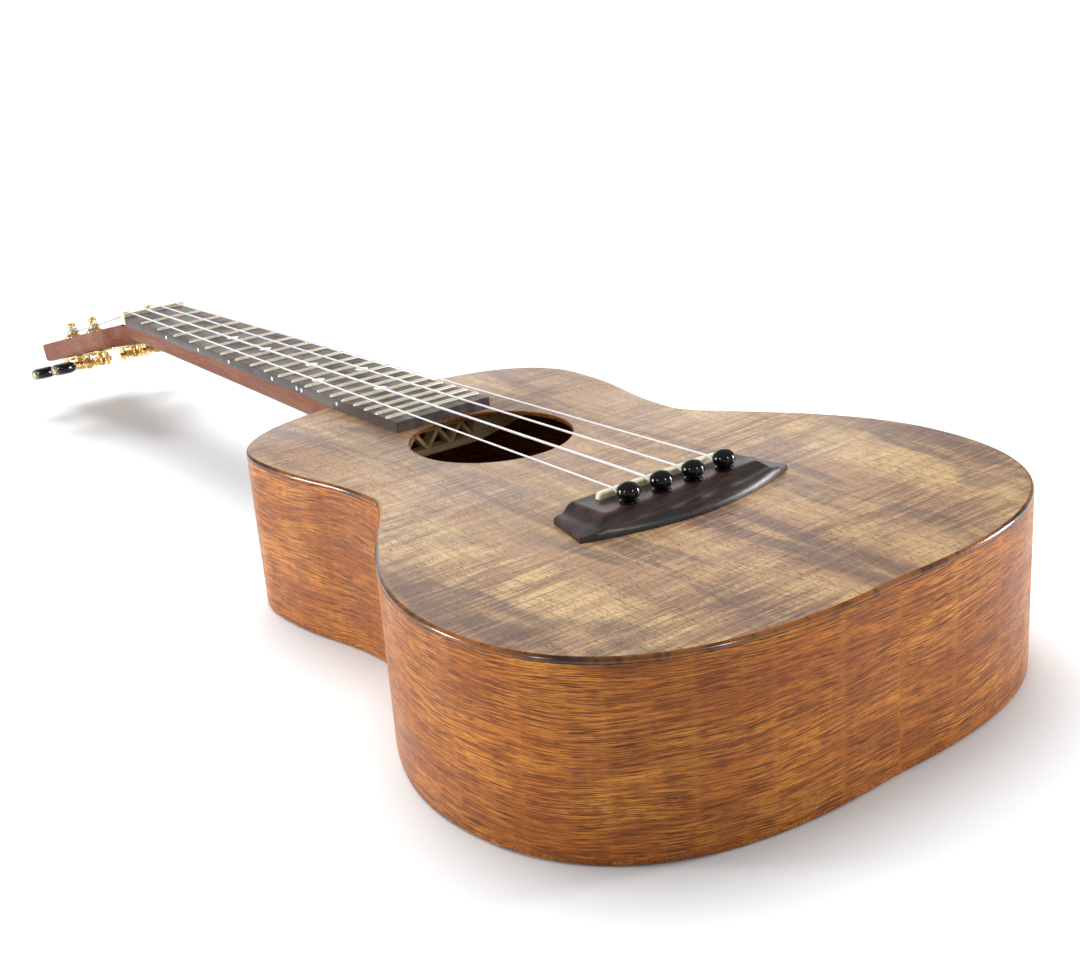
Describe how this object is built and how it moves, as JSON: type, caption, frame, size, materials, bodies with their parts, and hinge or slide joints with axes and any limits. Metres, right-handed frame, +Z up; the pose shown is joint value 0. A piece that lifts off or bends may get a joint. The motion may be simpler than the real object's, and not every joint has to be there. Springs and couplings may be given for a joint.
{
  "type": "tenor ukulele",
  "caption": "Small four-string fretted instrument with a waisted hollow body, round sound hole, bridge with lift-out pins and geared tuners that turn the string posts.",
  "frame": {"origin": "on the floor plane under the middle of the overall length, with the instrument lying on its back", "axes": "+Y towards the headstock, +Z up out of the soundboard, +X to the right seen from the tail"},
  "size_m": [0.2392, 0.6648, 0.0811],
  "materials": {
    "koa": "satin, figured, dark grain streaks",
    "side_mahogany": "satin, fine pores",
    "neck_mahogany": "satin",
    "rosewood": "oiled, near black",
    "spruce": "bare",
    "bone": "satin ivory",
    "nylon": "glossy translucent white",
    "gloss_black": "polished",
    "gold_plate": "polished gold plate",
    "gear_brass": "cut brass"
  },
  "bodies": {
    "instrument": {"soundboard": "koa", "back": "side_mahogany", "side_left": "side_mahogany", "side_right": "side_mahogany", "neck_block": "side_mahogany", "tail_block": "side_mahogany", "top_lining_left": "spruce", "top_lining_right": "spruce", "back_lining_left": "spruce", "back_lining_right": "spruce", "truss_brace": "spruce", "waist_brace": "spruce", "back_brace_1": "spruce", "back_brace_2": "spruce", "back_brace_3": "spruce", "fan_brace_left": "spruce", "fan_brace_center": "spruce", "fan_brace_right": "spruce", "bridge_plate": "spruce", "bridge": "rosewood", "saddle": "bone", "neck": "neck_mahogany", "headstock_overlay": "neck_mahogany", "fretboard": "rosewood", "nut": "bone", "string_1": "nylon", "string_2": "nylon", "string_3": "nylon", "string_4": "nylon", "tuner_1_plate": "gold_plate", "tuner_1_bushing": "gold_plate", "tuner_2_plate": "gold_plate", "tuner_2_bushing": "gold_plate", "tuner_3_plate": "gold_plate", "tuner_3_bushing": "gold_plate", "tuner_4_plate": "gold_plate", "tuner_4_bushing": "gold_plate"},
    "worm_1": {"tuner_1_worm_shaft": "gold_plate", "tuner_1_button": "gloss_black"},
    "post_1": {"tuner_1_post": "gold_plate", "tuner_1_gear": "gear_brass"},
    "worm_2": {"tuner_2_worm_shaft": "gold_plate", "tuner_2_button": "gloss_black"},
    "post_2": {"tuner_2_post": "gold_plate", "tuner_2_gear": "gear_brass"},
    "worm_3": {"tuner_3_worm_shaft": "gold_plate", "tuner_3_button": "gloss_black"},
    "post_3": {"tuner_3_post": "gold_plate", "tuner_3_gear": "gear_brass"},
    "worm_4": {"tuner_4_worm_shaft": "gold_plate", "tuner_4_button": "gloss_black"},
    "post_4": {"tuner_4_post": "gold_plate", "tuner_4_gear": "gear_brass"},
    "pin_1": {"bridge_pin_1": "gloss_black"},
    "pin_2": {"bridge_pin_2": "gloss_black"},
    "pin_3": {"bridge_pin_3": "gloss_black"},
    "pin_4": {"bridge_pin_4": "gloss_black"}
  },
  "joints": [
    {"name": "button_turn_1", "type": "hinge", "parent": "instrument", "child": "worm_1", "pos_m": [0.018, 0.26564, 0.03766], "axis": [1, 0, 0], "continuous": true},
    {"name": "post_turn_1", "type": "hinge", "parent": "instrument", "child": "post_1", "pos_m": [0.018, 0.2624, 0.05609], "axis": [0, 0.2419, 0.9703], "continuous": true},
    {"name": "button_turn_2", "type": "hinge", "parent": "instrument", "child": "worm_2", "pos_m": [0.018, 0.30329, 0.02827], "axis": [1, 0, 0], "continuous": true},
    {"name": "post_turn_2", "type": "hinge", "parent": "instrument", "child": "post_2", "pos_m": [0.018, 0.30005, 0.0467], "axis": [0, 0.2419, 0.9703], "continuous": true},
    {"name": "button_turn_3", "type": "hinge", "parent": "instrument", "child": "worm_3", "pos_m": [-0.018, 0.30329, 0.02827], "axis": [1, 0, 0], "continuous": true},
    {"name": "post_turn_3", "type": "hinge", "parent": "instrument", "child": "post_3", "pos_m": [-0.018, 0.30005, 0.0467], "axis": [0, 0.2419, 0.9703], "continuous": true},
    {"name": "button_turn_4", "type": "hinge", "parent": "instrument", "child": "worm_4", "pos_m": [-0.018, 0.26564, 0.03766], "axis": [1, 0, 0], "continuous": true},
    {"name": "post_turn_4", "type": "hinge", "parent": "instrument", "child": "post_4", "pos_m": [-0.018, 0.2624, 0.05609], "axis": [0, 0.2419, 0.9703], "continuous": true},
    {"name": "pin_lift_1", "type": "slide", "parent": "instrument", "child": "pin_1", "axis": [0, 0, 1], "range_m": [0, 0.025]},
    {"name": "pin_lift_2", "type": "slide", "parent": "instrument", "child": "pin_2", "axis": [0, 0, 1], "range_m": [0, 0.025]},
    {"name": "pin_lift_3", "type": "slide", "parent": "instrument", "child": "pin_3", "axis": [0, 0, 1], "range_m": [0, 0.025]},
    {"name": "pin_lift_4", "type": "slide", "parent": "instrument", "child": "pin_4", "axis": [0, 0, 1], "range_m": [0, 0.025]}
  ],
  "couplings": [
    {"joint": "post_turn_1", "follows": "button_turn_1", "ratio": 0.071429},
    {"joint": "post_turn_2", "follows": "button_turn_2", "ratio": 0.071429},
    {"joint": "post_turn_3", "follows": "button_turn_3", "ratio": -0.071429},
    {"joint": "post_turn_4", "follows": "button_turn_4", "ratio": -0.071429}
  ]
}
